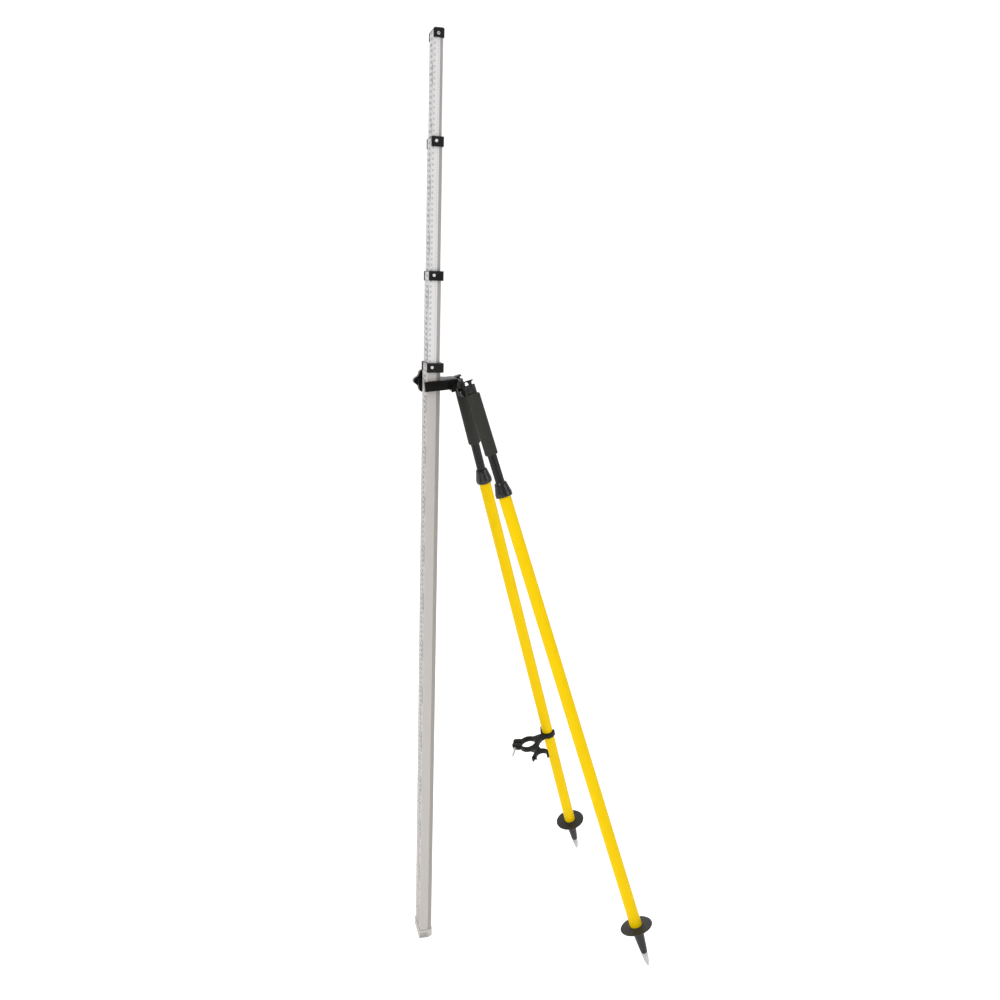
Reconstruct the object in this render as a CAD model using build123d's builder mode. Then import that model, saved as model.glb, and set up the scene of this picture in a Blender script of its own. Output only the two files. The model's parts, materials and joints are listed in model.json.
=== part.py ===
from build123d import *
from math import cos, radians, sin
import os

# A telescopic levelling rod of four nested aluminium sections, held upright by a clamp with two
# adjustable thumb-release legs.  Millimetres, +Z up.  The origin is the middle of the rod's foot,
# the graduated face looks towards -Y and the legs stand behind the rod, towards +Y.

# ---- Rod ------------------------------------------------------------------------------------
section_width = 54.0
section_depth = 26.0
width_step = 4.0  # each section is this much narrower than the one it slides in
depth_step = 2.6
wall = 1.1
slide_gap = 0.3
collar_height = 18.0
collar_side = 4.0
collar_back = {1: 5.0, 2: 3.4, 3: 1.6, 4: 1.0}  # how far each collar stands out behind, 4 is the cap
collar_front = {1: 1.6, 2: 1.0, 3: 0.6, 4: 0.6}
collar_lip = 1.2
first_collar_top = 1229.0
section_showing = {2: 154.0, 3: 223.0, 4: 170.0}  # length between one collar and the next
section_length = {2: 1100.0, 3: 1000.0, 4: 900.0}
cap_height = 17.0
cap_roof = 3.0
rivet_height = 6.5  # above the cap's lower end
shoe_height = 17.0
shoe_floor = 3.0
shoe_wall = 1.2
catch_height = 60.0  # catch pin above a section's lower end
button_y = {1: -5.0, 2: -3.4, 3: -2.2, 4: -1.0}  # lock buttons, and the cap's rivets
button_drop = 8.0  # lock button below its collar's top
button_radius = 3.0
button_stem_radius = 1.5
button_gap = 0.2
catch_pin_radius = 3.0

# ---- Clamp ----------------------------------------------------------------------------------
clamp_tilt = 6.0
clamp_bottom = 1174.5
clamp_height = 18.5
clamp_front = -18.0
near_arm = 9.7
far_arm = 9.5
pad_space = 8.2
screw_radius = 4.0
screw_y = -4.0
screw_z = 1188.0
knob_reach = 22.8  # out to the tips of the knob's five lobes
knob_lobe = 5.5
knob_valley = 16.5
hinge_y = 50.0
hinge_z = 1189.0
barrel_radius = 8.5
barrel_half = 30.8
bolt_radius = 4.0
eye_length = 7.4
washer = 1.2

# ---- Legs -----------------------------------------------------------------------------------
lean = 17.3
spread = {"right": 7.5, "left": 9.0}
pivot_out = 55.0  # leg pivot from the middle of the clamp
pivot_back = 15.0  # leg pivot behind the hinge, square to the legs
pivot_drop = 14.5  # leg pivot below the hinge, along the legs
pad_top = 21.0  # top of the thumb pad above the leg pivot
press = 3.0
inner_radius = 9.0
inner_wall = 1.5
outer_radius = 12.5
outer_wall = 1.25
grip_radius = 12.7
grip_top = 27.0  # stations below the top of the thumb pad
grip_bottom = 150.0
inner_bottom = 1030.0
cap_above_tip = 1041.0  # stations above the leg's steel tip
disc_above_tip = 95.0
boot_above_tip = 32.0
disc_radius = 34.0
tip_radius = 1.2
clip_above_tip = 367.0
clip_turn = 150.4
clip_thickness = 12.0
clip_reach = 40.0  # from the clip's middle to each leg jaw, and to the pole ring
ring_radius = 17.0

os.makedirs("parts", exist_ok=True)


def save(piece, name):
    piece.part.label = name
    export_step(piece.part, f"parts/{name}.step")


def width_of(number):
    return section_width - (number - 1) * width_step


def depth_of(number):
    return section_depth - (number - 1) * depth_step


def rod_outline(width, depth):
    """Flat front and sides, with the two back corners cut away."""
    side, back = width / 2, depth / 2
    cut_x, cut_y = width / 9, depth / 3
    return [
        (-side, -back),
        (side, -back),
        (side, back - cut_y),
        (side - cut_x, back),
        (cut_x - side, back),
        (-side, back - cut_y),
    ]


def collar_outline(number):
    """Nearly square block round a section, proud of its front, sides and back."""
    side = width_of(number) / 2 + collar_side
    front = -depth_of(number) / 2 - collar_front[number]
    back = depth_of(number) / 2 + collar_back[number]
    cut = 2.0
    return [
        (-side, front),
        (side, front),
        (side, back - cut),
        (side - cut, back),
        (cut - side, back),
        (-side, back - cut),
    ]


def facing_right(x, y, z):
    """Plane whose normal is +X, for round things set in the rod's side."""
    return Plane(origin=(x, y, z), x_dir=(0, 1, 0), z_dir=(1, 0, 0))


collar_top = {1: first_collar_top}
for number in (2, 3):
    collar_top[number] = collar_top[number - 1] + section_showing[number] + collar_height
cap_bottom = collar_top[3] + section_showing[4]
cap_top = cap_bottom + cap_height

section_top = {number: collar_top[number] - collar_lip for number in (1, 2, 3)}
section_top[4] = cap_top - cap_roof
section_bottom = {number: section_top[number] - section_length[number] for number in (2, 3, 4)}
section_bottom[1] = shoe_floor


# ---- Rod sections, their guides and catches ----
def make_section(number):
    width, bottom, top = width_of(number), section_bottom[number], section_top[number]
    with BuildPart() as section:
        with BuildSketch(Plane.XY.offset(bottom)):
            with BuildLine():
                Polyline(*rod_outline(width, depth_of(number)), close=True)
            make_face()
            offset(amount=-wall, mode=Mode.SUBTRACT)
        extrude(amount=top - bottom)
        if number == 4:
            with Locations((0, button_y[number], cap_bottom + rivet_height)):
                Cylinder(button_stem_radius, 2 * width, rotation=(0, 90, 0), mode=Mode.SUBTRACT)
        else:
            with Locations((width / 2, button_y[number], collar_top[number] - button_drop)):
                Cylinder(button_stem_radius + 0.2, width, rotation=(0, 90, 0), mode=Mode.SUBTRACT)
        if number > 1:
            with Locations((width / 2, button_y[number - 1], bottom + catch_height)):
                Cylinder(catch_pin_radius + 0.2, width, rotation=(0, 90, 0), mode=Mode.SUBTRACT)
    save(section, f"rod_section_{number}")


def make_end_guide(number):
    """Plug in a section's lower end, whose flange slides inside the next section out."""
    bottom = section_bottom[number]
    with BuildPart() as guide:
        with BuildSketch(Plane.XY.offset(bottom)):
            with BuildLine():
                Polyline(*rod_outline(width_of(number), depth_of(number)), close=True)
            make_face()
            offset(amount=-wall - 0.02, mode=Mode.REPLACE)
        extrude(amount=12)
        with BuildSketch(Plane.XY.offset(bottom)):
            with BuildLine():
                Polyline(*rod_outline(width_of(number - 1), depth_of(number - 1)), close=True)
            make_face()
            offset(amount=-wall - slide_gap, mode=Mode.REPLACE)
        extrude(amount=-6)
        with Locations((0, 0, bottom)):
            Box(20, 8, 40, mode=Mode.SUBTRACT)
    save(guide, f"end_guide_{number}")


def make_catch(number):
    """Leaf spring with the pin that snaps into the next section out at full reach."""
    skin = width_of(number) / 2
    inside = skin - wall
    level = section_bottom[number] + catch_height
    middle = button_y[number - 1]
    leaf, stand_off = 0.6, 4.0
    with BuildPart() as catch:
        with BuildSketch(Plane.XZ.offset(-middle)):
            with BuildLine():
                Polyline(
                    (inside - stand_off - leaf, level - 8),
                    (inside - stand_off, level - 8),
                    (inside - stand_off, level + 22),
                    (inside - 0.02, level + 30),
                    (inside - 0.02, level + 40),
                    (inside - leaf, level + 40),
                    (inside - leaf, level + 30.2),
                    (inside - stand_off - leaf, level + 22.2),
                    close=True,
                )
            make_face()
        extrude(amount=2.8, both=True)
        with BuildSketch(facing_right(inside - stand_off - leaf / 2, middle, level)):
            Circle(catch_pin_radius)
        extrude(amount=stand_off + wall + leaf / 2 - 0.05)
    save(catch, f"section_catch_{number}")


# ---- Collars, lock buttons and cap ----
def make_collar(number):
    width, depth, top = width_of(number), depth_of(number), collar_top[number]
    with BuildPart() as collar:
        with BuildSketch(Plane.XY.offset(top - collar_height)):
            with BuildLine():
                Polyline(*collar_outline(number), close=True)
            make_face()
        extrude(amount=collar_height)
        ends = collar.faces().filter_by(Axis.Z).edges()
        fillet(ends, radius=0.8)
        with BuildSketch(Plane.XY.offset(top - collar_height)):
            with BuildLine():
                Polyline(*rod_outline(width, depth), close=True)
            make_face()
        extrude(amount=collar_height - collar_lip, mode=Mode.SUBTRACT)
        with BuildSketch(Plane.XY.offset(top - collar_lip)):
            with BuildLine():
                Polyline(*rod_outline(width - width_step, depth - depth_step), close=True)
            make_face()
            offset(amount=slide_gap, mode=Mode.REPLACE)
        extrude(amount=collar_lip, mode=Mode.SUBTRACT)
        with Locations((0, -depth / 2, top - collar_lip)):
            Box(
                width - 3,
                2 * collar_front[number],
                2 * collar_height,
                align=(Align.CENTER, Align.CENTER, Align.MAX),
                mode=Mode.SUBTRACT,
            )
        with Locations((width / 2 + collar_side, button_y[number], top - button_drop)):
            Cylinder(button_radius + button_gap, 2 * collar_side, rotation=(0, 90, 0), mode=Mode.SUBTRACT)
    save(collar, f"collar_{number}")


def make_lock_button(number):
    skin = width_of(number) / 2
    level = collar_top[number] - button_drop
    with BuildPart() as button:
        with BuildSketch(facing_right(skin + 2, button_y[number], level)):
            Circle(button_radius)
        extrude(amount=collar_side - 2 + 1.4)
        fillet(button.faces().sort_by(Axis.X)[-1].edges(), radius=1.2)
        with BuildSketch(facing_right(skin + 2, button_y[number], level)):
            Circle(button_stem_radius)
        extrude(amount=-2.8)
    save(button, f"lock_button_{number}")


def make_button_spring(number):
    """Dished spring washer that the button's head is pressed against."""
    skin = width_of(number) / 2
    axis = Axis((skin, button_y[number], collar_top[number] - button_drop), (1, 0, 0))
    with BuildPart() as spring:
        with BuildSketch(Plane(origin=axis.position, x_dir=(1, 0, 0), z_dir=(0, -1, 0))):
            with BuildLine():
                Polyline((0.05, 2.5), (0.05, 2.9), (0.9, 2.1), (0.9, 1.8), close=True)
            make_face()
        revolve(axis=axis)
    save(spring, f"button_spring_{number}")


def make_top_cap(number):
    width, depth = width_of(number), depth_of(number)
    with BuildPart() as cap:
        with BuildSketch(Plane.XY.offset(cap_bottom)):
            with BuildLine():
                Polyline(*collar_outline(number), close=True)
            make_face()
        extrude(amount=cap_height)
        fillet(cap.faces().sort_by(Axis.Z)[-1].edges(), radius=3.4)
        with BuildSketch(Plane.XY.offset(cap_bottom)):
            with BuildLine():
                Polyline(*rod_outline(width, depth), close=True)
            make_face()
        extrude(amount=cap_height - cap_roof, mode=Mode.SUBTRACT)
        with Locations((0, -depth / 2, cap_top - cap_roof)):
            Box(
                width - 3,
                2 * collar_front[number],
                2 * cap_height,
                align=(Align.CENTER, Align.CENTER, Align.MAX),
                mode=Mode.SUBTRACT,
            )
        with Locations((0, button_y[number], cap_bottom + rivet_height)):
            Cylinder(button_stem_radius, 2 * width, rotation=(0, 90, 0), mode=Mode.SUBTRACT)
    save(cap, "top_cap")


def make_cap_rivets(number):
    proud = width_of(number) / 2 + collar_side
    middle, level = button_y[number], cap_bottom + rivet_height
    with BuildPart() as rivets:
        for side in (-1, 1):
            with BuildSketch(facing_right(side * proud, middle, level)):
                Circle(button_radius)
            extrude(amount=side * 1.4)
            with BuildSketch(facing_right(side * proud, middle, level)):
                Circle(button_stem_radius)
            extrude(amount=-side * (collar_side + 2))
        fillet(rivets.faces().sort_by(Axis.X)[-1].edges(), radius=1.2)
        fillet(rivets.faces().sort_by(Axis.X)[0].edges(), radius=1.2)
    save(rivets, "cap_rivets")


def make_base_shoe():
    with BuildPart() as shoe:
        with BuildSketch():
            with BuildLine():
                Polyline(*rod_outline(section_width + 2 * shoe_wall, section_depth + 2 * shoe_wall), close=True)
            make_face()
        extrude(amount=shoe_height)
        with BuildSketch(Plane.XY.offset(shoe_floor)):
            with BuildLine():
                Polyline(*rod_outline(section_width, section_depth), close=True)
            make_face()
        extrude(amount=shoe_height, mode=Mode.SUBTRACT)
        for side in (-1, 1):
            with Locations((side * (section_width / 2 + shoe_wall), -4.5, 7)):
                with GridLocations(1, 2.2, 1, 7):
                    Box(1.2, 1.0, 10, mode=Mode.SUBTRACT)
    save(shoe, "base_shoe")


for number in (1, 2, 3, 4):
    make_section(number)
for number in (2, 3, 4):
    make_end_guide(number)
    make_catch(number)
for number in (1, 2, 3):
    make_collar(number)
    make_lock_button(number)
    make_button_spring(number)
make_top_cap(4)
make_cap_rivets(4)
make_base_shoe()

# ---- Clamp ----
half_width = section_width / 2 + slide_gap
clamp_right = half_width + near_arm
clamp_left = -half_width - pad_space - far_arm
clamp_plane = Plane(origin=(0, clamp_front, clamp_bottom), x_dir=(1, 0, 0)).rotated((clamp_tilt, 0, 0))

with BuildPart() as clamp_body:
    with BuildSketch(clamp_plane):
        with BuildLine():
            Polyline(
                (clamp_left, 0),
                (clamp_right, 0),
                (clamp_right, 42),
                (barrel_half - 1, 54),
                (barrel_half - 1, 66),
                (1 - barrel_half, 66),
                (1 - barrel_half, 54),
                (clamp_left, 42),
                close=True,
            )
        make_face()
    extrude(amount=clamp_height)
    fillet(clamp_body.edges().filter_by(Plane.YZ).sort_by(Axis.Y)[:4], radius=1.5)
    with BuildSketch(Plane.YZ.offset(-barrel_half)):
        with Locations((hinge_y, hinge_z)):
            Circle(barrel_radius)
    extrude(amount=2 * barrel_half)
    with BuildSketch(facing_right(clamp_left, screw_y, screw_z)):
        Circle(8)
    extrude(amount=-2)
    # pocket for the rod, open to the front, with room for the pad on the left
    with BuildSketch(Plane.XY.offset(clamp_bottom - 5)):
        with BuildLine():
            Polyline(*rod_outline(section_width + 2 * slide_gap, section_depth + 2 * slide_gap), close=True)
        make_face()
    extrude(amount=clamp_height + 15, mode=Mode.SUBTRACT)
    with Locations((-half_width - pad_space, clamp_front - 5, clamp_bottom - 5)):
        Box(
            2 * half_width + pad_space,
            section_depth / 2 - clamp_front - section_depth * 2 / 3 + 5,
            clamp_height + 15,
            align=(Align.MIN, Align.MIN, Align.MIN),
            mode=Mode.SUBTRACT,
        )
    with Locations((-half_width - pad_space, clamp_front, clamp_bottom - 5)):
        Box(
            pad_space + 4,
            25,
            clamp_height + 15,
            align=(Align.MIN, Align.MIN, Align.MIN),
            mode=Mode.SUBTRACT,
        )
    with Locations((clamp_left, screw_y, screw_z)):
        Cylinder(screw_radius + 0.06, 24, rotation=(0, 90, 0), mode=Mode.SUBTRACT)
    with Locations((0, hinge_y, hinge_z)):
        Cylinder(bolt_radius + 0.02, 3 * barrel_half, rotation=(0, 90, 0), mode=Mode.SUBTRACT)
save(clamp_body, "clamp_body")

pad_thickness = 4.0
with BuildPart() as clamp_pad:
    with Locations((-half_width - pad_thickness / 2, screw_y, screw_z - 1)):
        Box(pad_thickness, 15, 14)
    fillet(clamp_pad.edges().filter_by(Axis.X), radius=1.5)
save(clamp_pad, "clamp_pad")

knob_inner = clamp_left - 4
knob_depth = 15.0
with BuildPart() as clamp_screw:
    with BuildSketch(facing_right(-half_width - pad_thickness, screw_y, screw_z)):
        Circle(screw_radius)
    extrude(amount=knob_inner - 6 + half_width + pad_thickness)
save(clamp_screw, "clamp_screw")

with BuildPart() as clamp_knob:
    with BuildSketch(facing_right(knob_inner, screw_y, screw_z)):
        Circle(knob_valley)
        with PolarLocations(knob_reach - knob_lobe, 5, start_angle=180):
            Circle(knob_lobe)
    extrude(amount=-knob_depth)
    fillet(clamp_knob.edges().filter_by(Axis.X), radius=2.0)
    fillet(clamp_knob.faces().sort_by(Axis.X)[0].edges(), radius=2.5)
    with BuildSketch(facing_right(knob_inner, screw_y, screw_z)):
        Circle(7)
    extrude(amount=1.8)
    with BuildSketch(facing_right(knob_inner + 2, screw_y, screw_z)):
        Circle(screw_radius)
    extrude(amount=-8, mode=Mode.SUBTRACT)
save(clamp_knob, "clamp_knob")

eye_outer = barrel_half + 0.3 + eye_length
bolt_end = eye_outer + 0.2 + washer
with BuildPart() as hinge_bolt:
    with BuildSketch(facing_right(-bolt_end - 7, hinge_y, hinge_z)):
        Circle(bolt_radius)
    extrude(amount=2 * bolt_end + 7)
    with BuildSketch(facing_right(bolt_end, hinge_y, hinge_z)):
        Circle(6)
    extrude(amount=3.6)
    fillet(hinge_bolt.faces().sort_by(Axis.X)[-1].edges(), radius=1.5)
    with BuildSketch(facing_right(bolt_end + 3.6, hinge_y, hinge_z)):
        RegularPolygon(2.4, 6)
    extrude(amount=-2, mode=Mode.SUBTRACT)
save(hinge_bolt, "hinge_bolt")

with BuildPart() as hinge_nut:
    with BuildSketch(facing_right(-bolt_end, hinge_y, hinge_z)):
        RegularPolygon(6, 6)
        Circle(bolt_radius, mode=Mode.SUBTRACT)
    extrude(amount=-5)
save(hinge_nut, "hinge_nut")

with BuildPart() as hinge_washers:
    for start in (eye_outer + 0.2, -bolt_end):
        with BuildSketch(facing_right(start, hinge_y, hinge_z)):
            Circle(7.4)
            Circle(bolt_radius, mode=Mode.SUBTRACT)
        extrude(amount=washer)
save(hinge_washers, "hinge_washers")


# ---- Legs ----
across = Vector(1, 0, 0)
hinge_centre = Vector(0, hinge_y, hinge_z)
rearward = Vector(0, cos(radians(lean)), sin(radians(lean)))
upward = Vector(0, -sin(radians(lean)), cos(radians(lean)))
lean_plane = Plane(origin=hinge_centre, x_dir=across, z_dir=upward)


def hand(side):
    return 1 if side == "right" else -1


def leg_plane(side):
    """Plane at the leg's pivot: x across the leg, y rearward, z up the leg."""
    turn = hand(side) * radians(spread[side])
    origin = hinge_centre + across * (hand(side) * pivot_out) + rearward * pivot_back - upward * pivot_drop
    return Plane(
        origin=origin,
        x_dir=across * cos(turn) + upward * sin(turn),
        z_dir=upward * cos(turn) - across * sin(turn),
    )


def turning(leg):
    """Plane through the leg's axis, for profiles that are revolved about it."""
    return Plane(origin=leg.origin, x_dir=leg.x_dir, z_dir=-leg.y_dir)


def tip_station(leg):
    """Station of the steel tip below the thumb pad, when its point rests on the ground."""
    return pad_top + (leg.origin.Z - tip_radius) / leg.z_dir.Z + tip_radius


def save_turned(leg, name, outline):
    """Revolve an outline of (radius, station below the thumb pad) about the leg."""
    with BuildPart() as piece:
        with BuildSketch(turning(leg)):
            with BuildLine():
                Polyline(*[(radius, pad_top - station) for radius, station in outline], close=True)
            make_face()
        revolve(axis=Axis(leg.origin, leg.z_dir))
    save(piece, name)


def make_swivel_block(side):
    """Casting that leans on the clamp's hinge and carries the leg's pivot bolt."""
    sign = hand(side)
    inner, outer = barrel_half + 0.3, eye_outer
    with BuildPart() as block:
        with BuildSketch(facing_right(sign * inner, hinge_y, hinge_z)):
            Circle(barrel_radius)
        extrude(amount=sign * eye_length)
        with BuildSketch(lean_plane.offset(-20.5)):
            with BuildLine():
                Polyline(
                    (sign * inner, -barrel_radius),
                    (sign * outer, -barrel_radius),
                    (sign * (outer + 5), -5),
                    (sign * (pivot_out + 7), -5),
                    (sign * (pivot_out + 7), 0),
                    (sign * inner, 0),
                    close=True,
                )
            make_face()
        extrude(amount=11.3)
        with BuildSketch(lean_plane.offset(-10)):
            with BuildLine():
                Polyline(
                    (sign * inner, -barrel_radius),
                    (sign * outer, -barrel_radius),
                    (sign * outer, 0),
                    (sign * inner, 0),
                    close=True,
                )
            make_face()
        extrude(amount=10)
        with Locations((sign * (inner + outer) / 2, hinge_y, hinge_z)):
            Cylinder(bolt_radius + 0.05, 3 * eye_length, rotation=(0, 90, 0), mode=Mode.SUBTRACT)
        with BuildSketch(pivot_plane(side)):
            Circle(3.05)
        extrude(amount=12, both=True, mode=Mode.SUBTRACT)
    save(block, f"swivel_block_{side}")


def pivot_plane(side):
    """Plane across the pivot bolt, its normal pointing rearward."""
    origin = hinge_centre + across * (hand(side) * pivot_out) - upward * pivot_drop
    return Plane(origin=origin, x_dir=across, z_dir=rearward)


def make_pivot_bolt(side):
    plane = pivot_plane(side)
    with BuildPart() as bolt:
        with BuildSketch(plane.offset(-5.2)):
            Circle(5)
        extrude(amount=-3)
        with BuildSketch(plane.offset(-5.2)):
            Circle(3)
        extrude(amount=5.2 + 5)
        with BuildSketch(plane.offset(-8.2)):
            RegularPolygon(2.4, 6)
        extrude(amount=1.8, mode=Mode.SUBTRACT)
    save(bolt, f"pivot_bolt_{side}")


def make_leg_head(side):
    """Plug in the top of the inner tube, with the lug that the leg swings on."""
    leg = leg_plane(side)
    core, spigot, bore = 8.5, inner_radius - inner_wall, 4.2
    shoulder, seat, spigot_end = 27, 50, 53
    with BuildPart() as head:
        with BuildSketch(leg.offset(pad_top - shoulder)):
            Circle(core)
        extrude(amount=18)
        fillet(head.faces().sort_by(Axis(leg.origin, leg.z_dir))[-1].edges(), radius=1.0)
        with BuildSketch(Plane(origin=leg.origin - rearward * (pivot_back - 0.3), x_dir=across, z_dir=rearward)):
            Circle(5.8)
        extrude(amount=pivot_back - 1)
        with BuildSketch(leg.offset(pad_top - spigot_end)):
            Circle(spigot)
        extrude(amount=spigot_end - shoulder)
        with BuildSketch(leg.offset(pad_top - seat)):
            Circle(bore)
        extrude(amount=seat, mode=Mode.SUBTRACT)
        with BuildSketch(leg.offset(pad_top - seat)):
            Circle(6.2)
        extrude(amount=seat - shoulder, mode=Mode.SUBTRACT)
        with BuildSketch(leg.offset(pad_top - spigot_end)):
            Circle(3)
        extrude(amount=10, mode=Mode.SUBTRACT)
        with BuildSketch(Plane(origin=leg.origin - rearward * pivot_back, x_dir=across, z_dir=rearward)):
            Circle(3)
        extrude(amount=5, mode=Mode.SUBTRACT)
    save(head, f"leg_head_{side}")


def make_thumb_button(side):
    leg = leg_plane(side)
    with BuildPart() as button:
        with BuildSketch(leg.offset(pad_top - 2.5)):
            with Locations((0, -0.9)):
                RectangleRounded(12, 15.6, 3)
        extrude(amount=2.5)
        fillet(button.faces().sort_by(Axis(leg.origin, leg.z_dir))[-1].edges(), radius=0.8)
        with BuildSketch(leg.offset(pad_top - 5.5)):
            Circle(3.5)
        with BuildSketch(leg.offset(pad_top - 2.5)):
            Circle(5.6)
        loft()
        with BuildSketch(leg.offset(pad_top - 5.5)):
            Circle(3.5)
        extrude(amount=-19.5)
        with BuildSketch(leg.offset(pad_top - 24)):
            Circle(2.5)
        extrude(amount=-6, mode=Mode.SUBTRACT)
    save(button, f"thumb_button_{side}")


def make_release_rod(side):
    """Steel rod from the thumb button down to the cone that spreads the collet."""
    leg = leg_plane(side)
    outline = [
        (0, 24),
        (2.5, 24),
        (2.5, 29),
        (5.6, 29),
        (5.6, 30.5),
        (2.5, 30.5),
        (2.5, inner_bottom + 12),
        (6.4, inner_bottom + 34),
        (6.4, inner_bottom + 38),
        (0, inner_bottom + 38),
    ]
    save_turned(leg, f"release_rod_{side}", outline)


def make_thumb_spring(side):
    """Coil that lifts the release rod's flange; seated in the leg head's spigot."""
    leg = leg_plane(side)
    start = leg.offset(pad_top - 48.5)
    with BuildPart() as spring:
        with BuildLine():
            coil = Helix(pitch=3.0, height=14, radius=4.2, center=start.origin, direction=start.z_dir)
        with BuildSketch(Plane(origin=coil @ 0, z_dir=coil % 0)):
            Circle(0.6)
        sweep(path=coil)
    save(spring, f"thumb_spring_{side}")


def make_collet(side):
    """Slotted sleeve at the inner tube's end that the cone spreads against the outer tube."""
    leg = leg_plane(side)
    start = inner_bottom
    fit, grasp = inner_radius - inner_wall - 0.03, outer_radius - outer_wall - 0.05
    outline = [
        (2.7, start - 10),
        (fit, start - 10),
        (fit, start),
        (grasp, start + 3),
        (grasp, start + 32),
        (7.5, start + 32),
        (3.4, start + 10),
        (2.7, start + 8),
    ]
    with BuildPart() as collet:
        with BuildSketch(turning(leg)):
            with BuildLine():
                Polyline(*[(radius, pad_top - station) for radius, station in outline], close=True)
            make_face()
        revolve(axis=Axis(leg.origin, leg.z_dir))
        with BuildSketch(leg.offset(pad_top - start - 33)):
            Rectangle(30, 1.6)
            Rectangle(1.6, 30)
        extrude(amount=26, mode=Mode.SUBTRACT)
    save(collet, f"lock_collet_{side}")


def make_grip(side):
    leg = leg_plane(side)
    with BuildPart() as grip:
        with BuildSketch(leg.offset(pad_top - grip_bottom)):
            Circle(grip_radius)
        extrude(amount=grip_bottom - grip_top)
        fillet(grip.edges().filter_by(GeomType.CIRCLE), radius=2.0)
        with BuildSketch(leg.offset(pad_top - grip_bottom)):
            Circle(inner_radius)
        extrude(amount=grip_bottom - grip_top, mode=Mode.SUBTRACT)
    save(grip, f"grip_{side}")


def make_lower_leg(side):
    """Outer tube with its guide cap, foot and steel point."""
    leg = leg_plane(side)
    tip = tip_station(leg)
    wide = tip - cap_above_tip
    disc = tip - disc_above_tip
    boot = tip - boot_above_tip
    bore = outer_radius - outer_wall

    save_turned(
        leg,
        f"outer_tube_{side}",
        [
            (bore, wide - 12),
            (outer_radius, wide - 12),
            (outer_radius, disc),
            (bore, disc),
        ],
    )
    save_turned(
        leg,
        f"guide_cap_{side}",
        [
            (inner_radius + 0.1, wide - 20),
            (10.6, wide - 21),
            (12.2, wide - 19.5),
            (16.4, wide - 2),
            (16.9, wide),
            (16.9, wide + 7),
            (15.9, wide + 8.5),
            (outer_radius, wide + 8.5),
            (outer_radius, wide - 12),
            (inner_radius + 0.1, wide - 12),
        ],
    )
    save_turned(
        leg,
        f"steel_point_{side}",
        [
            (0, boot - 36),
            (4, boot - 36),
            (4, boot),
            (6.6, boot),
            (6.4, boot + 8),
            (5.4, boot + 17),
            (3.6, boot + 25),
            (tip_radius, tip - tip_radius),
            (0.8 * tip_radius, tip - 0.4 * tip_radius),
            (0, tip),
        ],
    )
    with BuildPart() as foot:
        with BuildSketch(turning(leg)):
            with BuildLine():
                Polyline(
                    *[
                        (radius, pad_top - station)
                        for radius, station in [
                            (0, disc - 24),
                            (bore - 1, disc - 24),
                            (bore, disc - 22),
                            (bore, disc),
                            (outer_radius + 1.2, disc),
                            (outer_radius + 1.2, disc - 1.5),
                            (outer_radius + 3, disc - 1.5),
                            (outer_radius + 4, disc),
                            (disc_radius - 1, disc + 1),
                            (disc_radius, disc + 2),
                            (disc_radius - 1, disc + 3.2),
                            (14.5, disc + 4.5),
                            (12.3, disc + 8),
                            (7.0, boot - 1),
                            (6.6, boot),
                            (4, boot),
                            (4, boot - 36),
                            (0, boot - 36),
                        ]
                    ],
                    close=True,
                )
            make_face()
        revolve(axis=Axis(leg.origin, leg.z_dir))
        with BuildSketch(Plane(origin=leg.origin + leg.z_dir * (pad_top - disc - 16), x_dir=leg.z_dir, z_dir=across)):
            Circle(2.4)
        extrude(amount=20, mode=Mode.SUBTRACT)
    save(foot, f"foot_{side}")


for side in ("right", "left"):
    make_swivel_block(side)
    make_pivot_bolt(side)
    make_leg_head(side)
    make_thumb_button(side)
    make_release_rod(side)
    make_thumb_spring(side)
    make_collet(side)
    make_grip(side)
    make_lower_leg(side)
    upper_leg = leg_plane(side)
    save_turned(
        upper_leg,
        f"inner_tube_{side}",
        [
            (inner_radius - inner_wall, 27),
            (inner_radius, 27),
            (inner_radius, inner_bottom),
            (inner_radius - inner_wall, inner_bottom),
        ],
    )

# ---- Carrying clip on the left leg ----
# Its own frame: the middle between the two leg jaws, x towards the pole ring, y towards the
# empty jaw.
left_leg = leg_plane("left")
clip_level = left_leg.offset(pad_top - tip_station(left_leg) + clip_above_tip)
jaw_axis = left_leg.x_dir.rotate(Axis((0, 0, 0), left_leg.z_dir), clip_turn)
clip_plane = Plane(
    origin=clip_level.origin - jaw_axis * clip_reach,
    x_dir=jaw_axis.rotate(Axis((0, 0, 0), left_leg.z_dir), 90),
    z_dir=left_leg.z_dir,
)
jaw_bore = outer_radius + 0.05
ear_x = clip_reach + ring_radius + 10

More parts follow.
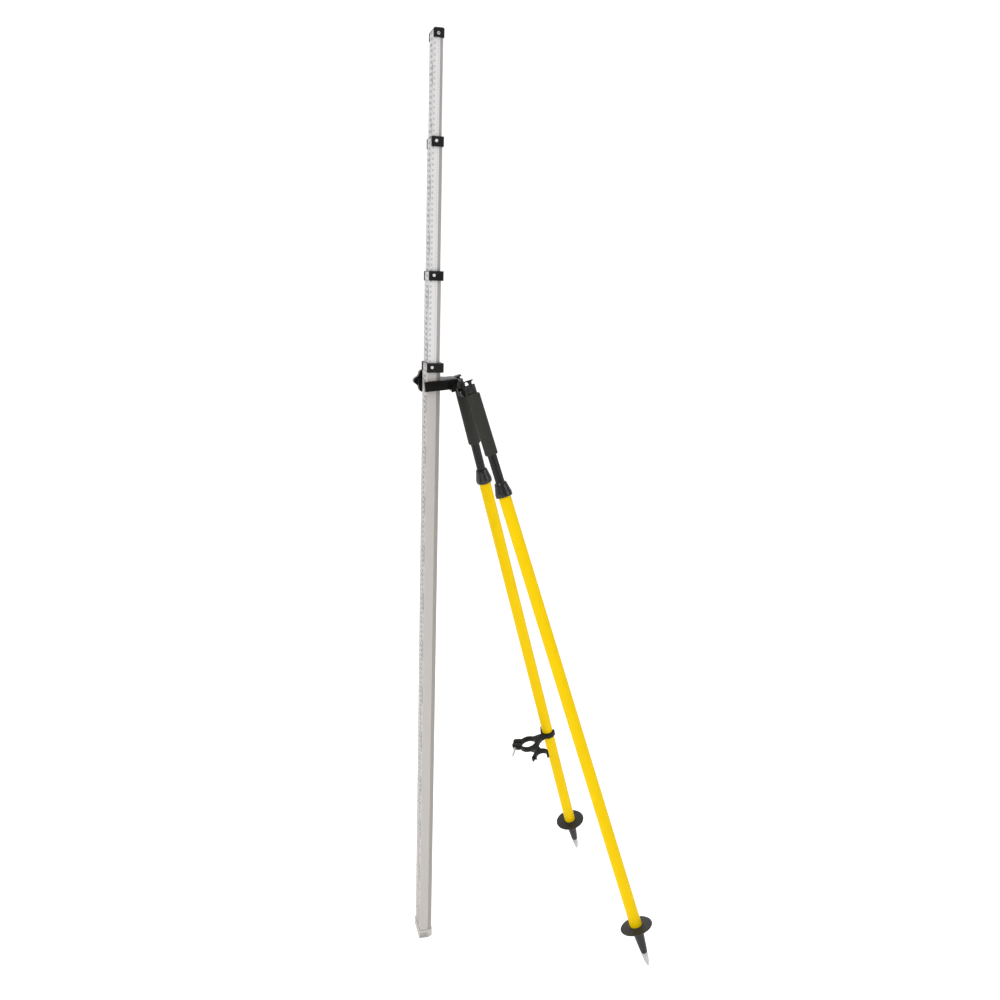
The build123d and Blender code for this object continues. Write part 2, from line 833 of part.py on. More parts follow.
with BuildPart() as leg_clip:
    with BuildSketch(clip_plane):
        with Locations((clip_reach, 0)):
            Circle(ring_radius + 4.5)
        with Locations((ear_x, 0)):
            RectangleRounded(20, 26, 4)
        for flip in (-1, 1):
            with Locations((0, flip * clip_reach)):
                Circle(jaw_bore + 4)
            with BuildLine():
                Polyline(
                    (clip_reach - ring_radius - 4, 0),
                    (clip_reach - 6, flip * 19),
                    (12, flip * 30),
                    (2, flip * 25),
                    (10, flip * 17),
                    (14, flip * 8),
                    (15, 0),
                    close=True,
                )
            make_face()
            with BuildLine():
                Polyline(
                    (jaw_bore - 1, flip * clip_reach),
                    (jaw_bore + 4, flip * (clip_reach - 4)),
                    (jaw_bore + 8, flip * (clip_reach + 15)),
                    (jaw_bore + 5.5, flip * (clip_reach + 15.5)),
                    close=True,
                )
            make_face()
        for flip in (-1, 1):
            with Locations((0, flip * clip_reach)):
                Circle(jaw_bore, mode=Mode.SUBTRACT)
            with Locations((-3, flip * (clip_reach + 14))):
                Rectangle(2 * jaw_bore + 4, 22, mode=Mode.SUBTRACT)
        with Locations((clip_reach, 0)):
            Circle(ring_radius, mode=Mode.SUBTRACT)
        with Locations((ear_x + 5, 0)):
            Rectangle(34, 4, mode=Mode.SUBTRACT)
    extrude(amount=clip_thickness / 2, both=True)
    with BuildSketch(Plane(origin=clip_plane.origin + clip_plane.x_dir * (ear_x + 3), z_dir=jaw_axis)):
        Circle(2.55)
    extrude(amount=30, both=True, mode=Mode.SUBTRACT)
save(leg_clip, "leg_clip")

screw_plane = Plane(origin=clip_plane.origin + clip_plane.x_dir * (ear_x + 3), z_dir=jaw_axis)
with BuildPart() as clip_screw:
    with BuildSketch(screw_plane.offset(13.2)):
        RegularPolygon(4.2, 6)
    extrude(amount=3.4)
    with BuildSketch(screw_plane.offset(13.2)):
        Circle(2.5)
    extrude(amount=-54)
save(clip_screw, "clip_screw")

with BuildPart() as clip_nut:
    with BuildSketch(screw_plane.offset(-13.1)):
        RegularPolygon(4.2, 6)
        Circle(2.56, mode=Mode.SUBTRACT)
    extrude(amount=-3.5)
save(clip_nut, "clip_nut")
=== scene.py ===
# %% [markdown]
# # A levelling rod with two legs
#
# This notebook dresses an exact engineering model so that it looks like the real thing.  The CAD
# model gives every piece its place and its size.  Here each piece gets a surface, and the pieces
# whose edges and curves catch the eye are modelled again with softer shapes.  Everything is in
# metres, with Z up the rod.

# %% Load the frame
import json
from math import cos, pi, radians, sin

import bpy
from mathutils import Matrix, Vector


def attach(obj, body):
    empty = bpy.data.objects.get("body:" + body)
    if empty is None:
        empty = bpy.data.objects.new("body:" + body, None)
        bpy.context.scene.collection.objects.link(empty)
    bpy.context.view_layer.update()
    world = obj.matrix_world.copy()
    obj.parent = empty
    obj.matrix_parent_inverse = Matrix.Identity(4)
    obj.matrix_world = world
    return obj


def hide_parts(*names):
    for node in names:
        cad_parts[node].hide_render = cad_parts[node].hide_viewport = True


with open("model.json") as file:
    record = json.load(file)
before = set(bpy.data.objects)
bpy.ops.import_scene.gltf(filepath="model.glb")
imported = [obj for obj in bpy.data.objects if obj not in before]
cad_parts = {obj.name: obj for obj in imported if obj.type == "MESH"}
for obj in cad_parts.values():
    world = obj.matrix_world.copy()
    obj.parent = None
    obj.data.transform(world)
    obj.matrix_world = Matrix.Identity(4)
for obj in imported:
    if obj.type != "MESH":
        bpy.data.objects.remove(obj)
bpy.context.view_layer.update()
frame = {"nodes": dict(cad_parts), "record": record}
nodes = frame["nodes"]
mm = 0.001
print(len(nodes), "CAD pieces")

# %% [markdown]
# ## Writing shader maths as ordinary maths
#
# A shader is a graph of small nodes.  Drawing such a graph by hand is pleasant, but writing one in
# code soon turns into a wall of link calls.  This class wraps one output socket, so that two
# sockets can be added or multiplied with the usual signs, and each sign makes a Math node.

# %% A socket that can be calculated with
class Wire:
    def __init__(self, socket):
        self.socket = socket
        self.tree = socket.id_data

    def node(self, kind, settings=(), output=0, **inputs):
        """Add a node after this one; inputs are named like its sockets, with _ for a space."""
        return add_node(self.tree, kind, settings, output, **inputs)

    def maths(self, operation, *others):
        made = self.tree.nodes.new("ShaderNodeMath")
        made.operation = operation
        for socket, value in zip(made.inputs, (self, *others)):
            connect(self.tree, socket, value)
        return Wire(made.outputs[0])

    def __add__(self, other):
        return self.maths("ADD", other)

    def __sub__(self, other):
        return self.maths("SUBTRACT", other)

    def __mul__(self, other):
        return self.maths("MULTIPLY", other)

    def __truediv__(self, other):
        return self.maths("DIVIDE", other)

    def __gt__(self, other):
        return self.maths("GREATER_THAN", other)

    def __lt__(self, other):
        return self.maths("LESS_THAN", other)

    def __rmul__(self, other):
        return self.maths("MULTIPLY", other)

    def __rsub__(self, other):
        return (self * -1) + other

    def ramp(self, start, end):
        """0 below start, 1 above end, and a straight slope between."""
        return self.node("ShaderNodeMapRange", Value=self, From_Min=start, From_Max=end)

    def mix(self, first, second):
        """The first colour where this is 0, the second where it is 1."""
        made = self.tree.nodes.new("ShaderNodeMix")
        made.data_type = "RGBA"
        connect(self.tree, made.inputs[0], self)
        connect(self.tree, made.inputs[6], first)
        connect(self.tree, made.inputs[7], second)
        return Wire(made.outputs[2])


def connect(tree, socket, value):
    if isinstance(value, Wire):
        tree.links.new(value.socket, socket)
    elif isinstance(value, tuple) and len(value) == 3 and socket.type == "RGBA":
        socket.default_value = (*value, 1)
    else:
        socket.default_value = value


def add_node(tree, kind, settings=(), output=0, **inputs):
    made = tree.nodes.new(kind)
    for name, value in dict(settings).items():
        setattr(made, name, value)
    for name, value in inputs.items():
        connect(tree, made.inputs[name.replace("_", " ")], value)
    return Wire(made.outputs[output])


print("shader maths ready")

# %% [markdown]
# ## One finish, from a few numbers
#
# Nearly every real surface needs the same three things: a colour that wanders a little, a shine
# that wanders with it, and fine grain that tilts the light.  The function below builds all three
# from noise that is measured in real metres, so the grain keeps its true size on a small button
# and on a long tube.  Stretching the coordinates first turns round grain into the long streaks
# that drawing leaves on metal.

# %% Building a finish
cloud_scale = 35
relief_depth = 0.2 * mm


def place_in(tree, factors=(1, 1, 1)):
    """Object coordinates, scaled so that noise can stretch along one axis."""
    place = add_node(tree, "ShaderNodeTexCoord", output="Object")
    scaled = tree.nodes.new("ShaderNodeVectorMath")
    scaled.operation = "MULTIPLY"
    tree.links.new(place.socket, scaled.inputs[0])
    scaled.inputs[1].default_value = factors
    return Wire(scaled.outputs[0])


def noise(place, scale, detail=3):
    return place.node("ShaderNodeTexNoise", Vector=place, Scale=scale, Detail=detail)


def finish(name, dark, light, shine, grain=900, bump=0.1, metal=0.0, gloss=0.5, stretch=(1, 1, 1)):
    """A material whose colour wanders from dark to light and whose roughness spans shine."""
    material = bpy.data.materials.new(name)
    material.use_nodes = True
    tree = material.node_tree
    shader = tree.nodes["Principled BSDF"]
    place = place_in(tree, stretch)
    clouds = noise(place, cloud_scale).ramp(0.3, 0.7)
    fine = noise(place, grain, detail=5)
    colour = (0.6 * clouds + 0.4 * fine.ramp(0.3, 0.7)).mix(dark, light)
    rough = clouds * (shine[1] - shine[0]) * 0.6 + fine * (shine[1] - shine[0]) * 0.4 + shine[0]
    relief = tree.nodes.new("ShaderNodeBump")
    relief.inputs["Strength"].default_value = bump
    relief.inputs["Distance"].default_value = relief_depth
    connect(tree, relief.inputs["Height"], fine)
    connect(tree, shader.inputs["Base Color"], colour)
    connect(tree, shader.inputs["Roughness"], rough)
    connect(tree, shader.inputs["Normal"], Wire(relief.outputs[0]))
    shader.inputs["Metallic"].default_value = metal
    shader.inputs["Specular IOR Level"].default_value = gloss
    return material


def grey(value):
    return (value, value, value)


finishes = {
    "black_plastic": finish(
        "Black plastic", grey(0.006), grey(0.015), (0.36, 0.5), grain=900, bump=0.2, gloss=0.12
    ),
    "button_metal": finish("Bright buttons", grey(0.5), grey(0.62), (0.25, 0.4), grain=1300, bump=0.08),
    "bolt_black": finish("Black oxide", grey(0.006), grey(0.014), (0.3, 0.45), grain=1100, gloss=0.3),
    "foot_plastic": finish(
        "Foot plastic", (0.013, 0.012, 0.011), (0.028, 0.025, 0.022), (0.35, 0.5),
        grain=600, bump=0.25, gloss=0.28,
    ),
    "clamp_black": finish(
        "Clamp paint", grey(0.003), (0.007, 0.006, 0.005), (0.28, 0.46), grain=500, bump=0.25, gloss=0.07
    ),
    "knob_plastic": finish("Knob plastic", grey(0.003), grey(0.008), (0.25, 0.36), gloss=0.15),
    "head_plastic": finish("Leg head plastic", grey(0.004), grey(0.012), (0.25, 0.38), gloss=0.3),
    "guide_plastic": finish(
        "Guide cap plastic", (0.006, 0.005, 0.006), (0.012, 0.01, 0.012), (0.16, 0.26), gloss=0.45
    ),
    "tube_black": finish(
        "Black anodising", grey(0.005), grey(0.01), (0.3, 0.42), grain=700, bump=0.05, gloss=0.25
    ),
    "grip_foam": finish(
        "Foam grip", (0.017, 0.017, 0.014), (0.03, 0.03, 0.026), (0.7, 0.9), grain=1500, bump=0.7, gloss=0.3
    ),
    "pad_rubber": finish("Pad rubber", grey(0.01), grey(0.02), (0.6, 0.8), grain=1200, bump=0.4),
    "inner_plastic": finish("Natural nylon", (0.42, 0.41, 0.38), (0.55, 0.54, 0.5), (0.4, 0.55)),
    "steel": finish(
        "Zinc plated steel", (0.5, 0.49, 0.48), (0.72, 0.71, 0.7), (0.2, 0.36),
        grain=1100, bump=0.12, metal=1.0,
    ),
    "spring_steel": finish(
        "Spring steel", (0.35, 0.34, 0.33), (0.55, 0.54, 0.53), (0.25, 0.4), grain=1500, metal=1.0
    ),
    "tip_steel": finish(
        "Ground steel", grey(0.38), grey(0.56), (0.22, 0.38), grain=1300, bump=0.12, metal=0.75
    ),
    "shoe_plastic": finish(
        "Shoe plastic", (0.46, 0.44, 0.42), (0.54, 0.52, 0.5), (0.45, 0.6), bump=0.2, gloss=0.3
    ),
    "dull_washer": finish(
        "Dull washers", grey(0.03), grey(0.2), (0.3, 0.5), grain=500, bump=0.2, metal=0.6, gloss=0.3
    ),
}
print(len(finishes), "finishes made")

# %% [markdown]
# ## Patterns measured in metres
#
# A printed scale repeats.  Dividing a height by the step and keeping the remainder gives a number
# that runs from 0 to 1 again and again, and asking whether it lies near the middle gives a mark.
# These three helpers are all that the scale and the shoe's grooves need.

# %% Pattern helpers
def remainder(value, step):
    return (value / step).maths("FRACT")


def near(value, centre, half_width):
    """1 where value lies within half_width of centre."""
    return (value - centre).maths("ABSOLUTE") < half_width


def split_place(tree):
    """The object's own x, y and z."""
    place = add_node(tree, "ShaderNodeTexCoord", output="Object")
    parts = tree.nodes.new("ShaderNodeSeparateXYZ")
    tree.links.new(place.socket, parts.inputs[0])
    return [Wire(output) for output in parts.outputs]


print("pattern helpers ready")

# %% [markdown]
# ## A graduated face
#
# The flat front of each section carries the scale: short bars every centimetre, longer ones every
# five, blocks where the figures would be, and a row of dots down the edge.  A little speckle
# between them stands for wear.  The pattern is a mask, 0 on bare paint and 1 on ink.

# %% Face print
centimetre = 0.01


def scale_print(x, z, width):
    """Ink on the graduated face, for a section of this width."""
    bars = (remainder(z, centimetre) < 0.5) * near(x, 0.02 * width, 0.13 * width)
    long_bars = (remainder(z, 5 * centimetre) < 0.1) * near(x, -0.05 * width, 0.2 * width)
    blocks = near(remainder(z, 10 * centimetre), 0.5, 0.16) * near(x, 0.3 * width, 0.1 * width)
    small_blocks = near(remainder(z, 2 * centimetre), 0.5, 0.2) * near(x, 0.3 * width, 0.05 * width)
    gaps = near(remainder(z, 10 * centimetre), 0.5, 0.07) * near(x, 0.3 * width, 0.05 * width)
    dots = near(remainder(z, centimetre), 0.5, 0.25) * near(x, -0.38 * width, 0.04 * width)
    ink = bars.maths("MAXIMUM", long_bars).maths("MAXIMUM", blocks * (1 - gaps))
    return ink.maths("MAXIMUM", small_blocks * 0.8).maths("MAXIMUM", dots)


def side_print(x, y, z, width, depth):
    """Faint ticks along the front corner and a row of dots down the middle of the right side."""
    ticks = (remainder(z, centimetre) < 0.45) * near(y, -0.38 * depth, 0.09 * depth)
    dots = near(remainder(z, 0.5 * centimetre), 0.5, 0.25) * near(y, 0.02 * depth, 0.6 * mm)
    return ticks.maths("MAXIMUM", dots) * (x > 0.49 * width) * 0.4


print("face print ready")

# %% [markdown]
# ## Anodised sections
#
# The sections are drawn aluminium, so their grain runs along Z.  The lowest one is warmer in tone than the
# three that slide inside it.  It is also painted darker, as painted shade, while the upper three are
# painted brighter where more light falls on them.
# The cut back corners of all of them are painted darker too, as painted shade.

# %% Rod section finish
face_tolerance = 0.06 * mm


def rod_finish(number):
    lowest = number == 1
    width = (54 - 4 * (number - 1)) * mm
    depth = (26 - 2.6 * (number - 1)) * mm
    # Painted light and shade: the upper three sections get a brighter metal level and the lowest a darker
    # one, with darker face paint too, for how much light falls on each. The warmth is the lowest section's
    # own tone.
    bright = 0.45 if lowest else 0.66
    warmth = (1, 0.94, 0.89) if lowest else (1, 0.98, 0.975)
    dark, light, paint = (
        tuple(level * part for part in warmth)
        for level in (bright - 0.03, bright + 0.03, 0.42 if lowest else 0.5)
    )
    material = finish(
        f"Anodised section {number}", dark, light, (0.3, 0.42),
        grain=1200, bump=0.08, metal=0.2, stretch=(1, 1, 0.02),
    )
    tree = material.node_tree
    shader = tree.nodes["Principled BSDF"]
    metal = Wire(shader.inputs["Base Color"].links[0].from_socket)
    x, y, z = split_place(tree)
    speckle = noise(place_in(tree), 420, 4).ramp(0.45, 0.6) * 0.35
    ink = (scale_print(x, z, width) * 0.9).maths("MAXIMUM", speckle)
    # Painted shade: the cut back corner is coloured a darker grey, standing in for the dimmer light that
    # this face reflects.
    corner_painted_shade = (y > depth / 6) * 0.75
    side = corner_painted_shade.mix(metal, (0.24, 0.23, 0.22))
    if not lowest:
        side = side_print(x, y, z, width, depth).mix(side, grey(0.2))
    on_face = y < face_tolerance - depth / 2
    face = ink.mix(paint, (0.05, 0.05, 0.055))
    connect(tree, shader.inputs["Base Color"], on_face.mix(side, face))
    connect(tree, shader.inputs["Metallic"], 0.2 - on_face * 0.2)
    return material


rod_finishes = {f"rod_section_{number}": rod_finish(number) for number in (1, 2, 3, 4)}
print(len(rod_finishes), "printed sections")

# %% [markdown]
# ## Painted shade in the grooves
#
# The shoe's grooves are too small to hold a shadow at this distance, so their shade is painted into the
# colour.  The same pattern helpers find the grooves and the bottom edge, and darken them with painted
# shade.

# %% Shoe finish
def shoe_painted_shade(material, groove_step=2.2 * mm, edge_height=1.4 * mm):
    tree = material.node_tree
    shader = tree.nodes["Principled BSDF"]
    plastic = Wire(shader.inputs["Base Color"].links[0].from_socket)
    y, z = split_place(tree)[1:]
    grooves = near(remainder(y + 5.6 * mm, groove_step), 0.5, 0.24)
    grooves = grooves * near(y, -4 * mm, 9 * mm) * near(z, 7 * mm, 5 * mm)
    # Painted shade: the grooves and a thin strip along the bottom edge, where the shoe meets the floor, are
    # darkened.
    groove_and_edge_shade = grooves.maths("MAXIMUM", z < edge_height)
    connect(tree, shader.inputs["Base Color"], (groove_and_edge_shade * 0.7).mix(plastic, (0.15, 0.145, 0.14)))


shoe_painted_shade(finishes["shoe_plastic"])
print("shoe grooves darkened")

# %% [markdown]
# ## The leg's own coordinates
#
# The legs lean back and spread apart, so modelling them in place would be awkward.  Each piece is
# modelled upright at the origin instead, with its height measured from the leg's pivot, and its
# mesh is then moved by one matrix.  The object itself stays unturned.

# %% Leg frames
lean = radians(17.3)
spread = {"right": radians(7.5), "left": radians(9.0)}
hand = {"right": 1, "left": -1}
hinge_centre = Vector((0, 50, 1189)) * mm
across = Vector((1, 0, 0))
rearward = Vector((0, cos(lean), sin(lean)))
upward = Vector((0, -sin(lean), cos(lean)))
pivot_out, pivot_back, pivot_drop = 55, 15, 14.5
pad_top = 21.0
tip_radius = 1.2
cap_above_tip, disc_above_tip, boot_above_tip = 1041, 95, 32.5


def leg_matrix(side):
    turn = hand[side] * spread[side]
    sideways = across * hand[side] * pivot_out
    origin = hinge_centre + (sideways + rearward * pivot_back - upward * pivot_drop) * mm
    columns = (
        across * cos(turn) + upward * sin(turn),
        rearward,
        upward * cos(turn) - across * sin(turn),
    )
    return Matrix.Translation(origin) @ Matrix(columns).transposed().to_4x4()


def tip_station(side):
    """Distance from the thumb pad to the steel tip, whose point rests on the floor."""
    matrix = leg_matrix(side)
    return pad_top + (matrix[2][3] / mm - tip_radius) / matrix[2][2] + tip_radius


legs = {side: leg_matrix(side) for side in ("right", "left")}
print({side: round(tip_station(side), 1) for side in legs})

# %% [markdown]
# ## Turned pieces
#
# Tubes, grips, caps and feet are all turned shapes.  A circle gives a ring of points, the points
# are moved onto the outline, and the Screw modifier sweeps the outline once round.  A narrow bevel
# then rounds the rims, because a real edge always catches a thin line of light.

# %% Modelling helpers
def only(piece):
    bpy.ops.object.select_all(action="DESELECT")
    piece.select_set(True)
    bpy.context.view_layer.objects.active = piece


def modify(piece, kind, **settings):
    only(piece)
    modifier = piece.modifiers.new(kind.title(), kind)
    for name, value in settings.items():
        setattr(modifier, name, value)
    bpy.ops.object.modifier_apply(modifier=modifier.name)


def tidy(piece, angle=32):
    """Weld the mesh, turn its faces outwards and smooth all but its sharp edges."""
    only(piece)
    bpy.ops.object.mode_set(mode="EDIT")
    bpy.ops.mesh.select_all(action="SELECT")
    bpy.ops.mesh.remove_doubles(threshold=1e-6)
    bpy.ops.mesh.dissolve_degenerate(threshold=1e-6)
    bpy.ops.mesh.normals_make_consistent(inside=False)
    bpy.ops.object.mode_set(mode="OBJECT")
    bpy.ops.object.shade_smooth_by_angle(angle=radians(angle))


def turned(name, outline, soften=0.4, steps=72):
    """Sweep an outline of (radius, height) once round Z."""
    bpy.ops.object.select_all(action="DESELECT")
    bpy.ops.mesh.primitive_circle_add(vertices=len(outline))
    piece = bpy.context.object
    piece.name = name
    for vertex, (radius, height) in zip(piece.data.vertices, outline):
        vertex.co = (radius * mm, 0, height * mm)
    modify(piece, "SCREW", steps=steps, render_steps=steps, use_merge_vertices=True, merge_threshold=1e-6)
    tidy(piece)
    modify(piece, "BEVEL", width=soften * mm, segments=2, limit_method="ANGLE", angle_limit=radians(25))
    tidy(piece)
    return piece


def on_leg(outline):
    """Stations below the thumb pad become heights above the pivot."""
    return [(radius, pad_top - station) for radius, station in outline]


def dress(piece, node, body, material, matrix=None):
    """Put a finished piece in place of its CAD node."""
    if matrix:
        piece.data.transform(matrix)
    piece.data.materials.clear()
    piece.data.materials.append(material)
    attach(piece, body)
    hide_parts(node)


def join(pieces, name):
    bpy.ops.object.select_all(action="DESELECT")
    for piece in pieces:
        piece.select_set(True)
    bpy.context.view_layer.objects.active = pieces[0]
    bpy.ops.object.join()
    pieces[0].name = name
    return pieces[0]


print("modelling helpers ready")

# %% [markdown]
# ## Yellow tubes and feet
#
# The powder coat is one finish with one extra idea: a few small scuffs show where the leg meets
# the ground.  The distance along the leg is a dot product with the leg's direction, so it works
# at any lean.  The foot's step is black plastic, moulded round a steel point.

# %% Yellow coat
scuffed_length = 0.16


def yellow_coat(side):
    material = finish(
        f"Yellow coat {side}", (0.79, 0.53, 0.0005), (0.84, 0.57, 0.001), (0.3, 0.42),
        grain=500, bump=0.08, gloss=0.06,
    )
    tree = material.node_tree
    shader = tree.nodes["Principled BSDF"]
    coat = Wire(shader.inputs["Base Color"].links[0].from_socket)
    matrix = legs[side]
    place = place_in(tree)
    along = tree.nodes.new("ShaderNodeVectorMath")
    along.operation = "DOT_PRODUCT"
    tree.links.new(place.socket, along.inputs[0])
    along.inputs[1].default_value = matrix.col[2][:3]
    start = matrix.col[2].to_3d().dot(matrix.translation)
    above_tip = Wire(along.outputs["Value"]) - start + (tip_station(side) - pad_top) * mm
    scuffs = noise(place, 260, 6).ramp(0.64, 0.68) * (above_tip < scuffed_length) * 0.35
    connect(tree, shader.inputs["Base Color"], scuffs.mix(coat, (0.5, 0.38, 0.05)))
    return material


yellow = {side: yellow_coat(side) for side in legs}
print("yellow coat for", len(yellow), "legs")

# %% Outer tubes, feet and steel points
outer_bore, outer_radius = 11.3, 12.5

for side, matrix in legs.items():
    body = f"lower_{side}"
    tip = tip_station(side)
    disc, boot = tip - disc_above_tip, tip - boot_above_tip
    tube_top = tip - cap_above_tip - 11.8
    tube = turned(
        f"yellow_tube_{side}",
        on_leg(
            [
                (outer_bore, tube_top), (outer_radius, tube_top),
                (outer_radius, disc), (outer_bore, disc),
            ]
        ),
    )
    dress(tube, f"outer_tube_{side}", body, yellow[side], matrix)
    foot = turned(
        f"foot_step_{side}",
        on_leg(
            [
                (0, disc - 24), (10.2, disc - 24), (11.2, disc - 22), (11.2, disc - 0.1),
                (13.4, disc - 0.1), (13.4, disc - 1.5), (15.5, disc - 1.5), (16.8, disc - 0.2),
                (33, disc + 1), (33.9, disc + 1.9), (33, disc + 3.1), (15.4, disc + 4.2),
                (13.6, disc + 5.2), (12.4, disc + 7.6), (11.4, disc + 14), (7.5, boot - 6),
                (6.7, boot - 0.4), (4.1, boot - 0.4), (4.1, boot - 35), (0, boot - 35),
            ]
        ),
        soften=0.3,
    )
    dress(foot, f"foot_{side}", body, finishes["foot_plastic"], matrix)
    point = turned(
        f"steel_tip_{side}",
        on_leg(
            [
                (0, boot - 35), (3.9, boot - 35), (3.9, boot), (6.2, boot), (6.55, boot + 0.5),
                (6.5, boot + 3), (6.1, boot + 3.4), (6.1, boot + 4.2), (6.4, boot + 4.6),
                (6.2, boot + 9), (5.6, boot + 15), (4.6, boot + 21), (3.2, boot + 26.5),
                (tip_radius, tip - tip_radius), (0.9, tip - 0.4), (0, tip),
            ]
        ),
        soften=0.15,
    )
    dress(point, f"steel_point_{side}", body, finishes["tip_steel"], matrix)
print("lower legs dressed")

# %% [markdown]
# ## Grips, inner tubes and guide caps
#
# The foam grip is a plain sleeve with generous rounds.  The guide cap flares from the black inner
# tube to a little wider than the yellow one, with a straight band round its lower end.

# %% Upper legs
grip_top, grip_bottom = 27, 150
inner_bore, inner_radius, inner_bottom = 7.5, 9, 1030

for side, matrix in legs.items():
    wide = tip_station(side) - cap_above_tip
    grip = turned(
        f"foam_grip_{side}",
        on_leg(
            [
                (9.1, grip_top), (10.6, grip_top), (12, grip_top + 0.6), (12.7, grip_top + 2.2),
                (12.7, grip_bottom - 2.2), (12, grip_bottom - 0.6), (10.6, grip_bottom), (9.1, grip_bottom),
            ]
        ),
    )
    dress(grip, f"grip_{side}", f"leg_{side}", finishes["grip_foam"], matrix)
    tube = turned(
        f"slim_tube_{side}",
        on_leg(
            [
                (inner_bore, grip_top), (inner_radius, grip_top),
                (inner_radius, inner_bottom), (inner_bore, inner_bottom),
            ]
        ),
    )
    dress(tube, f"inner_tube_{side}", f"leg_{side}", finishes["tube_black"], matrix)
    cap = turned(
        f"flared_cap_{side}",
        on_leg(
            [
                (9.15, wide - 20), (10.2, wide - 20.9), (11.5, wide - 20.3), (12.3, wide - 18.8),
                (13.1, wide - 15), (14.6, wide - 8.5), (15.9, wide - 3), (16.6, wide - 0.4),
                (16.9, wide + 1), (16.9, wide + 7), (16.3, wide + 8.2), (15.6, wide + 8.5),
                (12.55, wide + 8.5), (12.55, wide - 12.1), (9.15, wide - 12.1),
            ]
        ),
        soften=0.3,
    )
    dress(cap, f"guide_cap_{side}", f"lower_{side}", finishes["guide_plastic"], matrix)
print("upper legs dressed")

# %% [markdown]
# ## Thumb buttons
#
# The pad is a box whose corners are bevelled until it feels soft.  Four low ribs across it give
# the thumb some hold.  The stem below is turned, and everything is joined into one piece because
# it moves as one.

# %% Thumb buttons
def rounded_box(name, size, centre, round_by, segments=3):
    bpy.ops.object.select_all(action="DESELECT")
    bpy.ops.mesh.primitive_cube_add(size=1)
    box = bpy.context.object
    box.name = name
    for vertex in box.data.vertices:
        corner = zip(vertex.co, size, centre)
        vertex.co = [(part * length + middle) * mm for part, length, middle in corner]
    modify(box, "BEVEL", width=round_by * mm, segments=segments, limit_method="NONE")
    tidy(box)
    return box


rib = 0.9

for side, matrix in legs.items():
    pad = rounded_box("pad", (12, 15.6, 2.4), (0, -0.9, pad_top - 1.5), 1.1, 4)
    ribs = [
        rounded_box("rib", (8, rib, rib), (0, place, pad_top - rib / 2), 0.3, segments=2)
        for place in (-4.4, -1.6, 1.2, 4)
    ]
    stem = turned(
        "stem",
        on_leg(
            [
                (0, 2.2), (5.4, 2.3), (4.4, 3.6), (3.6, 5.8), (3.5, 7),
                (3.5, 24.5), (2.6, 24.9), (2.6, 30), (0, 30),
            ]
        ),
        soften=0.2,
    )
    button = join([pad, *ribs, stem], f"thumb_lever_{side}")
    dress(button, f"thumb_button_{side}", f"thumb_{side}", finishes["head_plastic"], matrix)
print("thumb buttons dressed")

# %% [markdown]
# ## Clamp knob
#
# A five-lobed knob starts as a disc with many points round its rim.  Moving each point in and out
# with a cosine gives five soft lobes, which no pile of cylinders would blend so smoothly.  The
# face is then shrunk towards its middle and pushed in to leave a shallow dish.

# %% Clamp knob
knob_inner, knob_depth = -49.0, 15.0
knob_y, knob_z = -4, 1188
lobes, lobe_height, middle_radius = 5, 2.9, 19.7
rim_points = 120
dish = 1.2 * mm

bpy.ops.object.select_all(action="DESELECT")
bpy.ops.mesh.primitive_circle_add(vertices=rim_points, fill_type="NGON")
knob = bpy.context.object
knob.name = "five_lobed_knob"
for index, vertex in enumerate(knob.data.vertices):
    angle = 2 * pi * index / rim_points
    radius = middle_radius + lobe_height * cos(lobes * (angle - pi))
    vertex.co = Vector((knob_inner, radius * cos(angle) + knob_y, radius * sin(angle) + knob_z)) * mm
only(knob)
bpy.ops.object.mode_set(mode="EDIT")
bpy.ops.mesh.select_all(action="SELECT")
bpy.ops.mesh.extrude_region_move(TRANSFORM_OT_translate={"value": (-knob_depth * mm, 0, 0)})
bpy.ops.mesh.extrude_region_move(TRANSFORM_OT_translate={"value": (0, 0, 0)})
bpy.ops.transform.resize(value=(1, 0.76, 0.76))
bpy.ops.mesh.extrude_region_move(TRANSFORM_OT_translate={"value": (dish, 0, 0)})
bpy.ops.transform.resize(value=(1, 0.9, 0.9))
bpy.ops.object.mode_set(mode="OBJECT")
tidy(knob)
modify(knob, "BEVEL", width=1.4 * mm, segments=4, limit_method="ANGLE", angle_limit=radians(40))
tidy(knob, 45)
dress(knob, "clamp_knob", "knob", finishes["knob_plastic"])
print("knob has", len(knob.data.polygons), "faces")

# %% [markdown]
# ## Softening the moulded pieces
#
# The collars, the clamp and the clip already have the right shape, only their edges are too sharp.
# A copy of each is welded, its flat triangles are merged back into whole faces, and a small bevel
# runs along every real edge.  The copy then stands in for the CAD piece.

# %% Softened copies
def softened(node, body, material, width, angle=30):
    source = nodes[node]
    copy = bpy.data.objects.new(f"soft_{node}", source.data.copy())
    bpy.context.collection.objects.link(copy)
    only(copy)
    bpy.ops.object.mode_set(mode="EDIT")
    bpy.ops.mesh.select_all(action="SELECT")
    bpy.ops.mesh.remove_doubles(threshold=2e-6)
    bpy.ops.mesh.dissolve_limited(angle_limit=radians(1))
    bpy.ops.mesh.normals_make_consistent(inside=False)
    bpy.ops.object.mode_set(mode="OBJECT")
    modify(copy, "BEVEL", width=width * mm, segments=2, limit_method="ANGLE", angle_limit=radians(angle))
    tidy(copy)
    dress(copy, node, body, material)
    return copy


